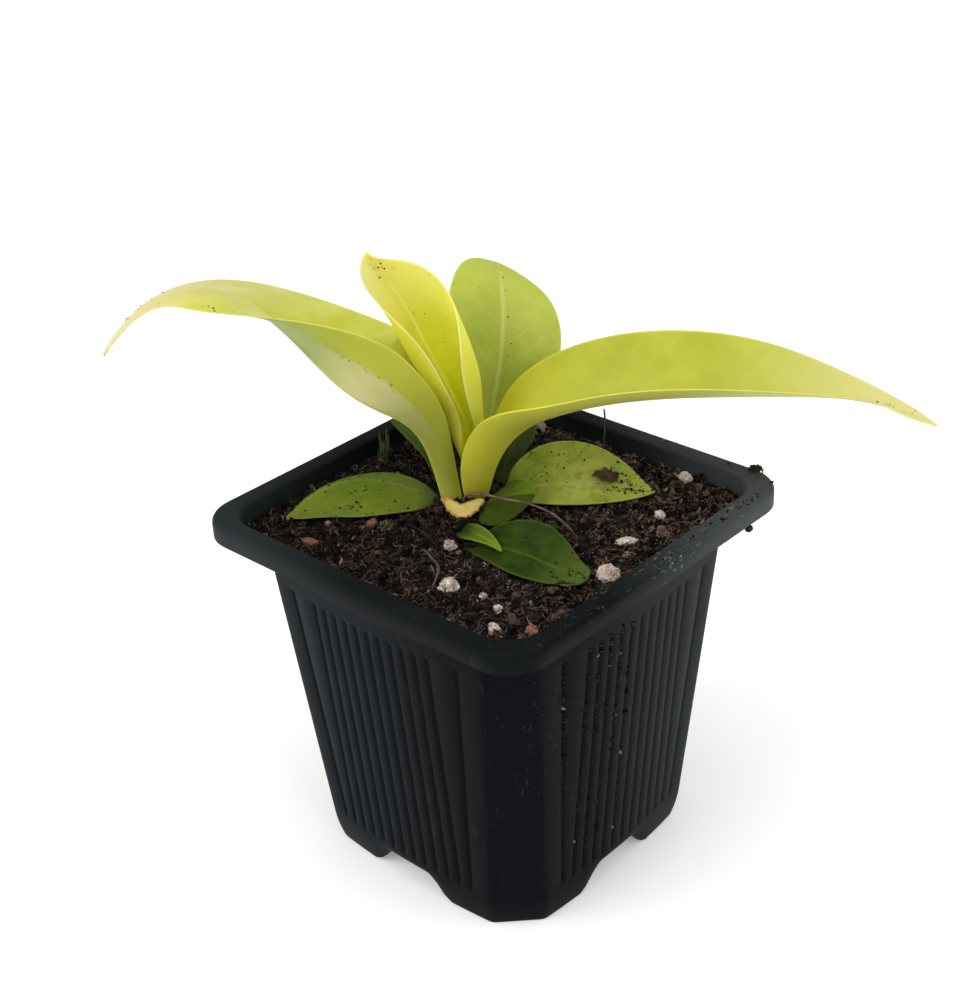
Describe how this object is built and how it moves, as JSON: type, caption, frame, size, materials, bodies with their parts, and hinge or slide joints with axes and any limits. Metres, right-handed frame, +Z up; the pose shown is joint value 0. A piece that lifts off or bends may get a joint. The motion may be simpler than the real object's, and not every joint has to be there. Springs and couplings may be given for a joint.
{
  "type": "potted philodendron",
  "caption": "Young moonlight philodendron with long lime-yellow leaves, standing in the peaty soil of a small square black nursery pot.",
  "frame": {"origin": "under the middle of the whole plant's bounding box, on the plane that the pot's feet stand on", "axes": "+Z up; X and Y run along the square pot's sides; +X is the long way of the plant, towards the tip of the right leaf"},
  "size_m": [0.1386, 0.1158, 0.1384],
  "materials": {
    "black_plastic": "satin",
    "peat_soil": "matte",
    "leaf_young": "satin",
    "leaf_yellow": "satin",
    "leaf_pale": "satin",
    "leaf_green": "satin",
    "leaf_dark": "satin",
    "perlite": "matte",
    "bark": "matte",
    "root": "matte",
    "dry_scale": "matte",
    "moss": "matte"
  },
  "bodies": {
    "root": {"back_twig": "root", "bark_0": "bark", "bark_1": "bark", "bark_2": "bark", "crumb_leaf": "peat_soil", "crumb_rim": "peat_soil", "crumb_under_rim": "peat_soil", "green_sprout": "moss", "leaf_back": "leaf_pale", "leaf_dark_left": "leaf_dark", "leaf_dark_right": "leaf_dark", "leaf_left": "leaf_young", "leaf_low_front": "leaf_green", "leaf_low_left": "leaf_green", "leaf_low_right": "leaf_green", "leaf_right": "leaf_young", "leaf_small_mid": "leaf_green", "leaf_tiny_front": "leaf_green", "leaf_upright": "leaf_yellow", "moss_tuft": "moss", "perlite_0": "perlite", "perlite_1": "perlite", "perlite_2": "perlite", "perlite_3": "perlite", "perlite_4": "perlite", "perlite_5": "perlite", "perlite_6": "perlite", "perlite_7": "perlite", "perlite_8": "perlite", "pot": "black_plastic", "root_strand": "root", "soil": "peat_soil", "soil_fibre": "root", "torn_scale": "dry_scale"}
  },
  "joints": []
}
